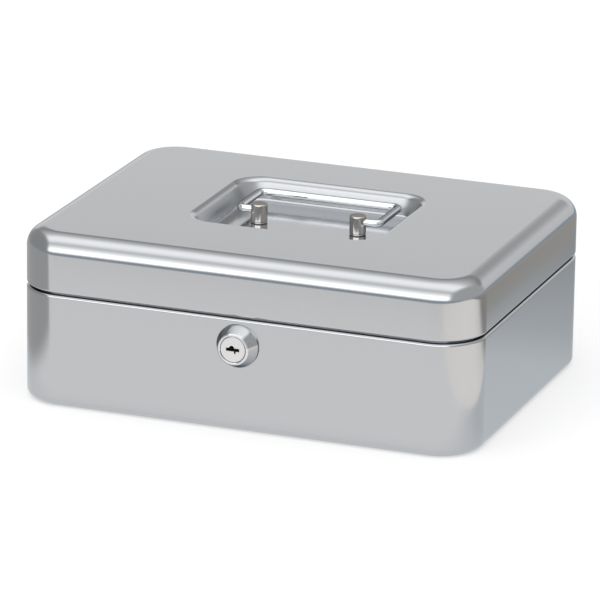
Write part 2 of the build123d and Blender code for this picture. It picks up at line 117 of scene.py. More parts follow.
# %% Helpers for colours and nodes
def linear(hex_colour):
    """Linear RGBA from an sRGB hex colour such as 'BCC0C4'."""
    values = [int(hex_colour[i : i + 2], 16) / 255 for i in (0, 2, 4)]
    return [v / 12.92 if v <= 0.04045 else ((v + 0.055) / 1.055) ** 2.4 for v in values] + [1.0]


def add_node(tree, kind, links=None, **settings):
    """Adds a node. settings are its properties, or else inputs, by name; links joins inputs to outputs."""
    node = tree.nodes.new("ShaderNode" + kind)
    for name, value in settings.items():
        if hasattr(node, name):
            setattr(node, name, value)
        else:
            node.inputs[name.replace("_", " ")].default_value = value
    for name, source in (links or {}).items():
        tree.links.new(source, node.inputs[name])
    return node


def fill_ramp(node, stops):
    """Sets a Color Ramp's stops from (place, brightness) or (place, colour) pairs."""
    ramp = node.color_ramp
    while len(ramp.elements) > 1:
        ramp.elements.remove(ramp.elements[-1])
    for index, (place, colour) in enumerate(stops):
        element = ramp.elements[0] if index == 0 else ramp.elements.new(place)
        element.position = place
        element.color = linear(colour) if isinstance(colour, str) else [colour] * 3 + [1.0]


# %% [markdown]
# ## Studio
# Bright metal has almost no colour of its own. What the eye reads as silver is the room in it:
# the long soft boxes make the white bands on the rolled edges, and the gaps between them make the
# thin dark lines. So the room is painted as a world whose brightness depends on the angle from
# the back horizon, over the top, to the front one. A pale floor carries the soft shadow, and a
# card under the box, which only reflections see, is the table top that the sides mirror.

# %% World: soft boxes as bands over the box
BANDS = [  # (degrees from the back horizon over the top, brightness)
    (0, 0.78),
    (17, 0.86),
    (21, 0.72),
    (27, 0.38),
    (34, 0.38),
    (45, 0.58),
    (62, 0.85),
    (73, 1.18),
    (82, 1.5),
    (95, 1.6),
    (107, 1.5),
    (115, 1.25),
    (122, 0.98),
    (129, 0.9),
    (136, 1.1),
    (143, 1.45),
    (151, 1.7),
    (156, 2.5),
    (171, 2.5),
    (177, 1.15),
    (180, 0.75),
]
RAMP_TOP = 2.6  # a Color Ramp holds at most 1, so the bands are divided by this and multiplied back
BELOW = "A6B0B9"  # blue-grey beyond the table's edge
HORIZON_BLUR = 0.02
SIDES = [  # (brightness, where it starts, where it is full): the darker room at either side, along X
    (0.4, -0.6, -0.72),
    (0.58, 0.47, 0.68),
]


def paint_world():
    """Bands by the angle over the top, dimmer at either side, and the ground's colour below."""
    world = bpy.data.worlds.new("studio")
    bpy.context.scene.world = world
    world.use_nodes = True
    tree = world.node_tree
    tree.nodes.clear()
    place = add_node(tree, "TexCoord")
    split = add_node(tree, "SeparateXYZ", {"Vector": place.outputs["Generated"]})
    angle = add_node(tree, "Math", operation="ARCTAN2")
    tree.links.new(split.outputs["Z"], angle.inputs[0])
    tree.links.new(split.outputs["Y"], angle.inputs[1])
    share = add_node(tree, "Math", {0: angle.outputs[0]}, operation="DIVIDE")
    share.inputs[1].default_value = math.pi
    bands = add_node(tree, "ValToRGB", {"Fac": share.outputs[0]})
    fill_ramp(bands, [(degrees / 180, level / RAMP_TOP) for degrees, level in BANDS])
    sides = bands.outputs[0]
    for level, start, finish in SIDES:
        fade = add_node(
            tree, "MapRange", {"Value": split.outputs["X"]}, interpolation_type="SMOOTHSTEP",
            From_Min=start, From_Max=finish,
        )
        side = add_node(tree, "Mix", {0: fade.outputs[0], 6: sides}, data_type="RGBA")
        side.inputs[7].default_value = [level / RAMP_TOP] * 3 + [1.0]
        sides = side.outputs[2]
    up = add_node(tree, "MapRange", {"Value": split.outputs["Z"]}, From_Min=-HORIZON_BLUR, From_Max=0.0)
    whole = add_node(tree, "Mix", {0: up.outputs[0], 7: sides}, data_type="RGBA")
    below = linear(BELOW)
    whole.inputs[6].default_value = [v / RAMP_TOP for v in below[:3]] + [1.0]
    background = add_node(tree, "Background", {"Color": whole.outputs[2]}, Strength=RAMP_TOP)
    out = tree.nodes.new("ShaderNodeOutputWorld")
    tree.links.new(background.outputs[0], out.inputs["Surface"])


paint_world()
print("world", len(BANDS), "bands, brightest", max(level for _, level in BANDS))

# %% [markdown]
# The floor is a matt paper sweep, which the camera sees and reflections don't. It could be a
# curved sweep, but a level plane with a faint glow of its own fades to the same white.

# %% Floor
FLOOR_SIZE = 12.0  # metres
FLOOR_HEIGHT = -0.0002
SWEEP = "BCBCBC"
SWEEP_GLOW = 0.55  # a lit sweep shines through a little, which keeps the shadow on it faint


def add_plane(name, corner, far_corner, height):
    """Level rectangle between two corners, on the stage."""
    deselect_all()
    bpy.ops.mesh.primitive_plane_add(size=1.0)
    plane = bpy.context.object
    plane.name = name
    size = Vector(far_corner) - Vector(corner)
    middle = (Vector(far_corner) + Vector(corner)) / 2
    plane.data.transform(Matrix.Diagonal((size.x, size.y, 1.0, 1.0)))
    plane.data.transform(Matrix.Translation((middle.x, middle.y, height)))
    return plane


def floor_material():
    """Matt paper sweep: no gloss at all, so that nothing but the box's soft shadow shows on it."""
    material = bpy.data.materials.new("paper_sweep_matt")
    material.use_nodes = True
    shader = material.node_tree.nodes["Principled BSDF"]
    shader.inputs["Base Color"].default_value = linear(SWEEP)
    shader.inputs["Roughness"].default_value = 1.0
    shader.inputs["Specular IOR Level"].default_value = 0.0
    shader.inputs["Emission Color"].default_value = linear("FFFFFF")
    shader.inputs["Emission Strength"].default_value = SWEEP_GLOW
    return material


half = FLOOR_SIZE / 2
floor = add_plane("floor", (-half, -half), (half, half), FLOOR_HEIGHT)
floor.data.materials.append(floor_material())
floor.visible_glossy = False
print("floor", tuple(floor.dimensions.xy))

# %% [markdown]
# The card lies between the floor and the box and is the floor's opposite: only reflections see
# it. A side of the box mirrors the table in front of it, so the card's brightness along Y gives
# the sides their gradients from top to bottom, and its dimmer left and right parts give the round
# corners their edges of light and dark.

# %% Bands of the table card
TABLE_RIGHT = 0.195  # metres; past this edge the card is the darker ground that the lid's side sees
EDGE_BLUR = 0.002  # metres
TABLE_BANDS = [  # (Y in metres, colour): bright in front of the box, dimmer beside and behind it
    (-0.44, "A9B1B9"),
    (-0.37, "EBE9E6"),
    (-0.28, "F2F0EE"),
    (-0.12, "F2F1F0"),
    (-0.05, "CDD1D4"),
    (0.07, "C8CCCF"),
    (0.13, "B6BABD"),
    (0.29, "9A9EA1"),
    (0.45, "9A9EA2"),
]
GROUND_BANDS = [  # past the right-hand edge
    (-0.44, "A9B1B9"),
    (-0.34, "FBF6F0"),
    (-0.12, "FFFAF4"),
    (-0.03, "FCF8F2"),
    (0.035, "ECE9E5"),
    (0.08, "979590"),
    (0.45, "AAA59E"),
]
LEFT_GROUND = "B0B0AF"  # dimmer ground that the left corner sees
LEFT_EDGE = (-0.155, -0.21)  # metres in X from where it starts to where it is full
LEFT_SLANT = (-0.025, 0.002)  # the same for Y minus X, its slanting front edge
CARD_FRONT, CARD_BACK, CARD_HALF = -0.44, 0.6, 1.2  # metres
CARD_HEIGHT = -0.0001  # just over the floor and under the box
CARD_GAIN = 1.17  # the lacquer takes away part of what it mirrors, so this goes past white
print("card", len(TABLE_BANDS), "and", len(GROUND_BANDS), "bands")


# %% Table card
def ramp_along_y(tree, y, bands):
    """Color Ramp along Y, with its stops at places in metres."""
    low, high = bands[0][0], bands[-1][0]
    along = add_node(tree, "MapRange", {"Value": y}, From_Min=low, From_Max=high)
    ramp = add_node(tree, "ValToRGB", {"Fac": along.outputs[0]})
    fill_ramp(ramp, [((place - low) / (high - low), colour) for place, colour in bands])
    return ramp.outputs[0]


def table_material():
    """Self-lit card, which only reflections see."""
    material = bpy.data.materials.new("table_card")
    material.use_nodes = True
    tree = material.node_tree
    tree.nodes.clear()
    place = add_node(tree, "TexCoord")
    split = add_node(tree, "SeparateXYZ", {"Vector": place.outputs["Object"]})
    x, y = split.outputs["X"], split.outputs["Y"]
    slant = add_node(tree, "Math", {0: y, 1: x}, operation="SUBTRACT")
    edges = []
    for value, (start, finish) in ((x, LEFT_EDGE), (slant.outputs[0], LEFT_SLANT)):
        edge = add_node(
            tree, "MapRange", {"Value": value}, interpolation_type="SMOOTHSTEP",
            From_Min=start, From_Max=finish,
        )
        edges.append(edge.outputs[0])
    corner = add_node(tree, "Math", {0: edges[0], 1: edges[1]}, operation="MULTIPLY")
    links = {0: corner.outputs[0], 6: ramp_along_y(tree, y, TABLE_BANDS)}
    near = add_node(tree, "Mix", links, data_type="RGBA")
    near.inputs[7].default_value = linear(LEFT_GROUND)
    past = add_node(
        tree, "MapRange", {"Value": x},
        From_Min=TABLE_RIGHT - EDGE_BLUR, From_Max=TABLE_RIGHT + EDGE_BLUR,
    )
    links = {0: past.outputs[0], 6: near.outputs[2], 7: ramp_along_y(tree, y, GROUND_BANDS)}
    whole = add_node(tree, "Mix", links, data_type="RGBA")
    glow = add_node(tree, "Emission", {"Color": whole.outputs[2]}, Strength=CARD_GAIN)
    out = tree.nodes.new("ShaderNodeOutputMaterial")
    tree.links.new(glow.outputs[0], out.inputs["Surface"])
    return material


table = add_plane("table_card", (-CARD_HALF, CARD_FRONT), (CARD_HALF, CARD_BACK), CARD_HEIGHT)
table.data.materials.append(table_material())
for ray in ("camera", "diffuse", "shadow", "transmission", "volume_scatter"):
    setattr(table, "visible_" + ray, False)
print("card", tuple(round(v, 3) for v in table.dimensions.xy))

# %% [markdown]
# ## Pressed shells
# The lid and the base are each pressed from one sheet of 1 mm steel. Everything that the eye
# follows on them is a rolled edge, and a mirror-like finish shows every facet of it. The CAD
# mesh has about eleven facets in a quarter turn, so both shells are modelled again with finer
# ones: a block whose edges are bevelled with many segments, opened, and given the sheet's
# thickness. A Weighted Normal modifier then makes the big flats dead flat up to the bevels.

# %% Helpers for selecting
CORNER_RADIUS = 24.0 * MM
CORNER_STEPS = 28  # the recess's corners have as many, so that the flat between bridges cleanly
SHEET = 1.0 * MM
LEVEL = 0.02 * MM  # how near a vertex lies to the height or side that it is looked for at


def pick(kind, test):
    """In edit mode, selects the verts, edges or faces that pass a test, and only those."""
    bpy.ops.mesh.select_mode(type={"verts": "VERT", "edges": "EDGE", "faces": "FACE"}[kind])
    bpy.ops.mesh.select_all(action="DESELECT")
    mesh = bmesh.from_edit_mesh(bpy.context.object.data)
    found = [item for item in getattr(mesh, kind) if test(item)]
    for item in found:
        item.select_set(True)
    mesh.select_flush_mode()
    bmesh.update_edit_mesh(bpy.context.object.data)
    return len(found)


def at_height(z):
    """Test for edges and faces that lie level at one height."""
    return lambda item: all(abs(vert.co.z - z) < LEVEL for vert in item.verts)


def is_upright(edge):
    """Test for edges that run straight up."""
    a, b = (vert.co for vert in edge.verts)
    return abs(a.z - b.z) > 10 * LEVEL and (a.xy - b.xy).length < LEVEL


# %% Helpers for shaping
def round_over(radius, segments, angle=90.0):
    """Bevels the selected edges to a radius. angle is how far the surface turns there, in degrees."""
    offset = radius * math.tan(math.radians(angle / 2))
    bpy.ops.mesh.bevel(
        offset=offset, offset_type="OFFSET", segments=segments, profile=0.5, affect="EDGES",
        clamp_overlap=False,
    )


def add_block(name, low, high):
    """Block between two corners, left in edit mode with its object at the origin."""
    deselect_all()
    bpy.ops.mesh.primitive_cube_add(size=1.0)
    block = bpy.context.object
    block.name = name
    bpy.ops.transform.resize(value=high - low)
    bpy.ops.transform.translate(value=(high + low) / 2)
    bpy.ops.object.transform_apply(location=True, rotation=True, scale=True)
    bpy.ops.object.mode_set(mode="EDIT")
    return block


def apply_modifier(piece, kind, **settings):
    """Adds a modifier with its settings and applies it."""
    modifier = piece.modifiers.new(kind.lower(), kind)
    for name, value in settings.items():
        setattr(modifier, name, value)
    bpy.context.view_layer.objects.active = piece
    bpy.ops.object.modifier_apply(modifier=modifier.name)


# %% Helpers for cutting and shading
HINGE_GAP = 0.3 * MM  # at each end of a hinge


def cut_away(piece, cutter):
    """Boolean difference; the cutter is used up."""
    apply_modifier(piece, "BOOLEAN", operation="DIFFERENCE", object=cutter, solver="EXACT")
    bpy.data.objects.remove(cutter, do_unlink=True)


def add_cutter(low, high):
    """Block to cut with, between two corners."""
    cutter = add_block("cutter", Vector(low), Vector(high))
    bpy.ops.object.mode_set(mode="OBJECT")
    return cutter


def smooth_flats(piece):
    """Smooth shading whose normals follow the largest faces, so that flats stay flat."""
    deselect_all()
    piece.select_set(True)
    bpy.context.view_layer.objects.active = piece
    bpy.ops.object.shade_smooth_by_angle(angle=math.radians(40))
    apply_modifier(piece, "WEIGHTED_NORMAL", mode="FACE_AREA", weight=100, keep_sharp=True)


def hinge_spans():
    """Where the lid's hinges cut through the rims: low and high X of each."""
    spans = []
    for side in ("left", "right"):
        low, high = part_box("hinge_pin_" + side)
        spans.append((low.x - HINGE_GAP, high.x + HINGE_GAP))
    return spans


print("hinges", [tuple(round(v, 4) for v in span) for span in hinge_spans()])

# %% Lid: rolled edges and rim
LID_EDGE, LID_EDGE_STEPS = 10.4 * MM, 20
RIM_RADIUS, RIM_STEPS = 1.5 * MM, 6  # where the lid's rim turns in
RIM_WIDTH = 3.0 * MM

lid_low, lid_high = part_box("lid_shell")
lid = add_block("lid_pressing", lid_low, lid_high)
pick("edges", is_upright)
round_over(CORNER_RADIUS, CORNER_STEPS)
pick("edges", at_height(lid_high.z))
round_over(LID_EDGE, LID_EDGE_STEPS)
pick("edges", at_height(lid_low.z))
round_over(RIM_RADIUS, RIM_STEPS)
pick("faces", at_height(lid_low.z))
bpy.ops.mesh.inset(thickness=RIM_WIDTH - RIM_RADIUS)
bpy.ops.mesh.delete(type="FACE")
print("lid", len(bmesh.from_edit_mesh(lid.data).verts), "vertices before the recess")

# %% [markdown]
# The recess for the handle is drawn in the same sheet. Its plan is a plane with bevelled
# corners, inset and dropped in one step so that the wall gets its draft, and then the flat round
# it is bridged to the lid. Both loops have the same number of points, so the bridge is clean.

# %% Lid: recess
RECESS_SIZE = Vector((104.0, 86.0)) * MM
RECESS_CENTRE_Y = 5.2 * MM
RECESS_DROP = 11.0 * MM
RECESS_DRAFT = 24.0  # degrees
RECESS_CORNER = 15.0 * MM
RECESS_EDGE, RECESS_EDGE_STEPS = 4.0 * MM, 12
RECESS_FLOOR, RECESS_FLOOR_STEPS = 2.0 * MM, 8

pick("faces", at_height(lid_high.z))
bpy.ops.mesh.delete(type="ONLY_FACE")
pick("edges", lambda edge: edge.is_boundary and at_height(lid_high.z)(edge))
bpy.ops.mesh.hide(unselected=False)
bpy.ops.mesh.primitive_plane_add(size=1.0, location=(0.0, RECESS_CENTRE_Y, lid_high.z))
bpy.ops.transform.resize(
    value=(RECESS_SIZE.x, RECESS_SIZE.y, 1.0), center_override=(0.0, RECESS_CENTRE_Y, lid_high.z)
)
bpy.ops.mesh.bevel(
    offset=RECESS_CORNER, offset_type="OFFSET", segments=CORNER_STEPS, profile=0.5, affect="VERTICES",
    clamp_overlap=False,
)


def in_recess(item):
    """Test for what lies over the recess's plan."""
    inside = RECESS_SIZE / 2 + Vector((LEVEL, LEVEL))
    return all(abs(v.co.x) < inside.x and abs(v.co.y - RECESS_CENTRE_Y) < inside.y for v in item.verts)


pick("faces", lambda face: in_recess(face) and at_height(lid_high.z)(face))
lean = RECESS_DROP * math.tan(math.radians(RECESS_DRAFT))
bpy.ops.mesh.inset(thickness=lean, depth=-RECESS_DROP)
bpy.ops.mesh.reveal(select=False)
pick("edges", lambda edge: edge.is_boundary and at_height(lid_high.z)(edge))
bpy.ops.mesh.bridge_edge_loops()
turn = 90.0 - RECESS_DRAFT
pick("edges", lambda edge: in_recess(edge) and at_height(lid_high.z)(edge))
round_over(RECESS_EDGE, RECESS_EDGE_STEPS, turn)
pick("edges", lambda edge: in_recess(edge) and at_height(lid_high.z - RECESS_DROP)(edge))
round_over(RECESS_FLOOR, RECESS_FLOOR_STEPS, turn)
bpy.ops.mesh.select_all(action="SELECT")
bpy.ops.mesh.normals_make_consistent(inside=False)
bpy.ops.object.mode_set(mode="OBJECT")
print("lid", len(lid.data.polygons), "faces with its recess")

# %% Lid: thickness and the notches for its hinges
apply_modifier(lid, "SOLIDIFY", thickness=SHEET, offset=-1.0, use_even_offset=True)
NOTCH_TOP = 3.0 * MM  # over the hinge's axis
PAST = 5 * MM  # how far a cutter goes past what it cuts
NOTCH_DEPTH = 8 * MM
hinge_axis_z = (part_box("hinge_pin_left")[0].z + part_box("hinge_pin_left")[1].z) / 2
for x_low, x_high in hinge_spans():
    cut_away(
        lid,
        add_cutter(
            (x_low, lid_high.y - NOTCH_DEPTH, lid_low.z - PAST),
            (x_high, lid_high.y + PAST, hinge_axis_z + NOTCH_TOP),
        ),
    )
smooth_flats(lid)
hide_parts("lid_shell")
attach(lid, "lid")
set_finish(lid, "silver_lacquer")
print("lid", len(lid.data.polygons), "faces", [round(v, 4) for v in lid.dimensions])

# %% [markdown]
# The base is the same work: a deep pan whose top edge rolls over into a narrow shoulder, and
# inside the shoulder a lip stands up that the lid closes over. The lock's body goes through a
# hole in its front wall.

# %% Base: pan, shoulder and lip
BASE_EDGE, BASE_EDGE_STEPS = 4.5 * MM, 10
SHOULDER_STEPS = 8  # the shoulder is rounded like the lid's rim, but more of it shows
LIP_INSET = 3.5 * MM
LIP_RISE = 7.5 * MM

base_low, base_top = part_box("base_shell")
shoulder_z = base_top.z - LIP_RISE
base = add_block("base_pressing", base_low, Vector((base_top.x, base_top.y, shoulder_z)))
pick("edges", is_upright)
round_over(CORNER_RADIUS, CORNER_STEPS)
pick("edges", at_height(base_low.z))
round_over(BASE_EDGE, BASE_EDGE_STEPS)
pick("edges", at_height(shoulder_z))
round_over(RIM_RADIUS, SHOULDER_STEPS)
pick("faces", at_height(shoulder_z))
bpy.ops.mesh.inset(thickness=LIP_INSET - RIM_RADIUS)
bpy.ops.mesh.extrude_region_move(TRANSFORM_OT_translate={"value": (0.0, 0.0, LIP_RISE)})
bpy.ops.mesh.delete(type="ONLY_FACE")
bpy.ops.mesh.select_all(action="SELECT")
bpy.ops.mesh.normals_make_consistent(inside=False)
bpy.ops.object.mode_set(mode="OBJECT")
apply_modifier(base, "SOLIDIFY", thickness=SHEET, offset=-1.0, use_even_offset=True)
print("base", len(base.data.polygons), "faces before its holes")

# %% Base: notches and the hole for the lock
NOTCH_BOTTOM = 3.0 * MM  # under the hinge's axis
LOCK_HOLE_RADIUS, LOCK_HOLE_SIDES = 8.85 * MM, 64
for x_low, x_high in hinge_spans():
    cut_away(
        base,
        add_cutter(
            (x_low, base_top.y - LIP_INSET, hinge_axis_z - NOTCH_BOTTOM),
            (x_high, base_top.y + PAST, base_top.z + PAST),
        ),
    )
plug_low, plug_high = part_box("lock_plug")
deselect_all()
bpy.ops.mesh.primitive_cylinder_add(
    vertices=LOCK_HOLE_SIDES, radius=LOCK_HOLE_RADIUS, depth=SHEET + PAST,
    rotation=(math.radians(90), 0.0, 0.0),
    location=(0.0, base_low.y + SHEET / 2, (plug_low.z + plug_high.z) / 2),
)
cut_away(base, bpy.context.object)
smooth_flats(base)
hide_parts("base_shell")
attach(base, "base")
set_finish(base, "silver_lacquer")
print("base", len(base.data.polygons), "faces", [round(v, 4) for v in base.dimensions])

# %% [markdown]
# ## Handle
# The handle is one bright steel wire, bent at four corners. The CAD wire is right but faceted,
# and chrome shows it, so it is drawn again as a hand would bend it: a circle is extruded along
# each straight and spun round each corner.

# %% Wire handle: sizes and the two moves that make it
WIRE_SIDES = 40
BEND_STEPS = 14
BEND_RADIUS = 3.6 * MM  # on the wire's centreline
MERGE = 0.005 * MM
WIRE_PAST_CENTRE = 1.5 * MM  # how far each end goes past the middle of its post

bail_low, bail_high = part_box("handle_bail")
wire_radius = (bail_high.z - bail_low.z) / 2
pivot = Vector((0.0, bail_low.y + wire_radius, bail_low.z + wire_radius))
arm_x = bail_high.x - wire_radius
grip_y = bail_high.y - wire_radius
post_centre = (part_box("handle_post_right")[0].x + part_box("handle_post_right")[1].x) / 2
wire_end = post_centre - WIRE_PAST_CENTRE


def push_wire(step):
    """Extrudes the wire's open end by a step."""
    bpy.ops.mesh.extrude_region_move(TRANSFORM_OT_translate={"value": step})


def bend_wire(x, y):
    """Spins the wire's open end a quarter turn to the left round an upright axis."""
    bpy.ops.mesh.spin(
        steps=BEND_STEPS, angle=-math.pi / 2, center=(x, y, pivot.z), axis=(0.0, 0.0, 1.0),
        use_auto_merge=False,
    )


# %% Bending the wire
deselect_all()
bpy.ops.mesh.primitive_circle_add(
    vertices=WIRE_SIDES, radius=wire_radius, fill_type="NGON", location=(wire_end, pivot.y, pivot.z),
    rotation=(0.0, math.radians(90), 0.0),
)
wire = bpy.context.object
wire.name = "handle_wire"
bpy.ops.object.transform_apply(location=True, rotation=True, scale=True)
bpy.ops.object.mode_set(mode="EDIT")
bpy.ops.mesh.select_all(action="SELECT")
bend_x = arm_x - BEND_RADIUS
near_y, far_y = pivot.y + BEND_RADIUS, grip_y - BEND_RADIUS
push_wire((bend_x - wire_end, 0.0, 0.0))
bend_wire(bend_x, near_y)
push_wire((0.0, far_y - near_y, 0.0))
bend_wire(bend_x, far_y)
push_wire((-2 * bend_x, 0.0, 0.0))
bend_wire(-bend_x, far_y)
push_wire((0.0, near_y - far_y, 0.0))
bend_wire(-bend_x, near_y)
push_wire((bend_x - wire_end, 0.0, 0.0))
bpy.ops.mesh.select_all(action="SELECT")
bpy.ops.mesh.remove_doubles(threshold=MERGE)
bpy.ops.mesh.normals_make_consistent(inside=False)
bpy.ops.object.mode_set(mode="OBJECT")
smooth_flats(wire)
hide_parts("handle_bail")
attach(wire, "handle")
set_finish(wire, "chrome_wire")
print("wire", len(wire.data.polygons), "faces", [round(v, 4) for v in wire.dimensions])

# %% [markdown]
# ## Posts
# Each post is turned from bar: a small chamfer round its top, a groove at its foot, and a thinner
# tenon that goes through the lid and is hammered into a rivet head over a washer. A lathe makes
# an outline going round, so the model does the same: a circle is extruded ring by ring.

# %% Outline of a post
POST_SIDES = 64
POST_PROFILE = [  # (radius, height over the recess's floor), mm, from the top down
    (3.55, 10.2),
    (3.82, 10.14),
    (4.12, 9.92),
    (4.26, 9.7),
    (4.3, 9.4),
    (4.3, 0.9),
    (4.26, 0.72),
    (4.0, 0.55),
    (3.9, 0.4),
    (3.95, 0.2),
    (4.1, 0.0),
]
TOP_INSET = 0.4 * MM  # keeps the flat top flat up to its chamfer
TENON_RADIUS = 2.4 * MM
RIVET_RADIUS = 3.8 * MM
RIVET_ROUND = 0.95 * MM


def post_outline(bottom_z):
    """(radius, Z) of each ring, in metres, from the top to the rivet head under the sheet."""
    floor_z = lid_high.z - RECESS_DROP
    washer_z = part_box("post_washers")[0].z
    return [(radius * MM, floor_z + height * MM) for radius, height in POST_PROFILE] + [
        (TENON_RADIUS, floor_z),
        (TENON_RADIUS, washer_z),
        (RIVET_RADIUS, washer_z),
        (RIVET_RADIUS, bottom_z + RIVET_ROUND),
        (RIVET_RADIUS - 0.12 * RIVET_ROUND, bottom_z + 0.5 * RIVET_ROUND),
        (RIVET_RADIUS - 0.5 * RIVET_ROUND, bottom_z + 0.12 * RIVET_ROUND),
        (RIVET_RADIUS - RIVET_ROUND, bottom_z),
    ]


# %% Posts
def add_post(side):
    """Turned post, extruded ring by ring down its outline."""
    low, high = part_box("handle_post_" + side)
    x = (low.x + high.x) / 2
    y = (low.y + high.y) / 2
    outline = post_outline(low.z)
    first_radius, top_z = outline[0]
    deselect_all()
    bpy.ops.mesh.primitive_circle_add(
        vertices=POST_SIDES, radius=first_radius, fill_type="NGON", location=(x, y, top_z)
    )
    post = bpy.context.object
    post.name = "turned_post_" + side
    bpy.ops.object.transform_apply(location=True, rotation=True, scale=True)
    bpy.ops.object.mode_set(mode="EDIT")
    bpy.ops.mesh.select_all(action="SELECT")
    bpy.ops.mesh.inset(thickness=TOP_INSET)
    pick("edges", lambda edge: edge.is_boundary)
    for (radius, z), (next_radius, next_z) in zip(outline, outline[1:]):
        bpy.ops.mesh.extrude_region_move(TRANSFORM_OT_translate={"value": (0.0, 0.0, next_z - z)})
        ratio = next_radius / radius
        bpy.ops.transform.resize(value=(ratio, ratio, 1.0), center_override=(x, y, next_z))
    bpy.ops.mesh.edge_face_add()
    bpy.ops.mesh.select_all(action="SELECT")
    bpy.ops.mesh.normals_make_consistent(inside=False)
    bpy.ops.object.mode_set(mode="OBJECT")
    smooth_flats(post)
    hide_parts("handle_post_" + side)
    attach(post, "lid")
    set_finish(post, "nickel")
    return post


posts = [add_post(side) for side in ("left", "right")]
print("posts", [len(post.data.polygons) for post in posts])

# %% [markdown]
# ## Finishes
# Nine finishes cover the box. All of them are built the same way: a pattern at the size of the
# real marks varies the colour, the gloss and the relief a little, and ambient occlusion darkens
# the colour in seams and corners, a painted shade. Patterns use Object coordinates,
# because every piece has its place in its mesh, so the marks run on from piece to piece.


# %% Start of every finish
CLOSED, OPEN = 0.1, 0.75  # ambient occlusion where the painted shade is darkest and where it ends


def principled(name, **inputs):
    """New material with its Principled shader; returns (material, tree, shader)."""
    material = bpy.data.materials.new(name)
    material.use_nodes = True
    tree = material.node_tree
    shader = tree.nodes["Principled BSDF"]
    for key, value in inputs.items():
        shader.inputs[key.replace("_", " ")].default_value = value
    return material, tree, shader


def join_colour(tree, shader, colour, marks, spread, reach, darkest):
    """Base colour, varied by marks over a spread and darkened within reach of a neighbour: painted shade.
    """
    # painted shade: the colour is darkened where other surfaces are near
    occlusion_shade = add_node(tree, "AmbientOcclusion", samples=8, Distance=reach)
    shade = add_node(
        tree, "MapRange", {"Value": occlusion_shade.outputs["AO"]}, From_Min=CLOSED, From_Max=OPEN, To_Min=darkest
    )
    tone = add_node(tree, "MapRange", {"Value": marks}, To_Min=1 - spread, To_Max=1 + spread)
    level = add_node(tree, "Math", {0: shade.outputs[0], 1: tone.outputs[0]}, operation="MULTIPLY")
    tinted = add_node(tree, "VectorMath", {"Scale": level.outputs[0]}, operation="SCALE")
    tinted.inputs[0].default_value = linear(colour)[:3]
    tree.links.new(tinted.outputs[0], shader.inputs["Base Color"])


# %% [markdown]
# Stoved silver lacquer is aluminium flake in a clear binder, sprayed on the pressings and baked.
# It mirrors like metal at a shallow angle and looks grey and even from the front, so it is a
# metal of middle brightness with a thin clear coat. The flakes are a fine cell pattern, and the
# slow waves of orange peel soften what it mirrors. The gun reaches the steep walls of the recess
# only at a slant, and the drier spray there is duller.

# %% Sizes of the silver lacquer's marks
LACQUER = "BCBEC1"
FLAKE_SIZE = 0.25 * MM  # real flakes are finer; this is as fine as shows
PEEL_SIZE = 2.5 * MM
PEEL_RELIEF = 0.02 * MM
FLAKE_SPREAD = 0.03  # share of brightness by which the flakes differ
# painted shade: how far from a seam or corner the lacquer's colour is darkened, and how dark it gets
SEAM_REACH, SEAM_DARKEST = 2.0 * MM, 0.25
DRY_ROUGHNESS = 0.36
DRY_REACH, DRY_FADE = 0.75, 0.03  # in widths of the recess, a little past its corners
PEEL_GLOSS = (0.12, 0.16)  # roughness in the hollows and on the humps of the peel


def dry_spray(tree, place):
    """Share of dry spray at a place: all on the recess's walls, none on its floor or on the flats."""
    scale = (1 / RECESS_SIZE.x, 1 / RECESS_SIZE.y, 0.0)
    centre = (0.0, -RECESS_CENTRE_Y / RECESS_SIZE.y, 0.0)
    plan = add_node(tree, "Mapping", {"Vector": place}, Location=centre, Scale=scale)
    reach = add_node(tree, "VectorMath", {0: plan.outputs[0]}, operation="LENGTH")
    share = add_node(
        tree, "MapRange", {"Value": reach.outputs["Value"]},
        From_Min=DRY_REACH, From_Max=DRY_REACH - DRY_FADE,
    )
    split = add_node(tree, "SeparateXYZ", {"Vector": place})
    floor_z = lid_high.z - RECESS_DROP
    top = (lid_high.z - 1 * MM, lid_high.z - 3 * MM)
    foot = (floor_z + 0.5 * MM, floor_z + 2 * MM)
    for start, finish in (top, foot):
        edge = add_node(tree, "MapRange", {"Value": split.outputs["Z"]}, From_Min=start, From_Max=finish)
        share = add_node(tree, "Math", {0: share.outputs[0], 1: edge.outputs[0]}, operation="MULTIPLY")
    return share.outputs[0]


# %% Silver lacquer
def silver_lacquer():
    """Even flake under a thin clear coat, duller where the spray is dry."""
    material, tree, shader = principled(
        "silver_lacquer_stoved", Metallic=1.0, Coat_Weight=0.25, Coat_Roughness=0.03
    )
    place = add_node(tree, "TexCoord")
    flakes = add_node(tree, "TexVoronoi", {"Vector": place.outputs["Object"]}, Scale=1 / FLAKE_SIZE)
    peel = add_node(tree, "TexNoise", {"Vector": place.outputs["Object"]}, Scale=1 / PEEL_SIZE, Detail=1.0)
    join_colour(tree, shader, LACQUER, flakes.outputs["Color"], FLAKE_SPREAD, SEAM_REACH, SEAM_DARKEST)
    low_gloss, high_gloss = PEEL_GLOSS
    gloss = add_node(tree, "MapRange", {"Value": peel.outputs["Fac"]}, To_Min=low_gloss, To_Max=high_gloss)
    links = {0: dry_spray(tree, place.outputs["Object"]), 2: gloss.outputs[0]}
    dull = add_node(tree, "Mix", links, data_type="FLOAT")
    dull.inputs[3].default_value = DRY_ROUGHNESS
    tree.links.new(dull.outputs[0], shader.inputs["Roughness"])
    bump = add_node(tree, "Bump", {"Height": peel.outputs["Fac"]}, Strength=0.05, Distance=PEEL_RELIEF)
    tree.links.new(bump.outputs[0], shader.inputs["Normal"])
    return material


# %% [markdown]
# Plated and bare metals keep the marks of how they were worked: rings from the lathe, lines from
# the drawing die or from a brush. Stretching one noise along the way of working gives all of
# them, with the size across the marks in millimetres and a stretch along each axis.

# %% Metals
# painted shade: how far from a neighbouring part a metal's colour is darkened, and how dark it gets
METAL_REACH, METAL_DARKEST = 3.0 * MM, 0.3


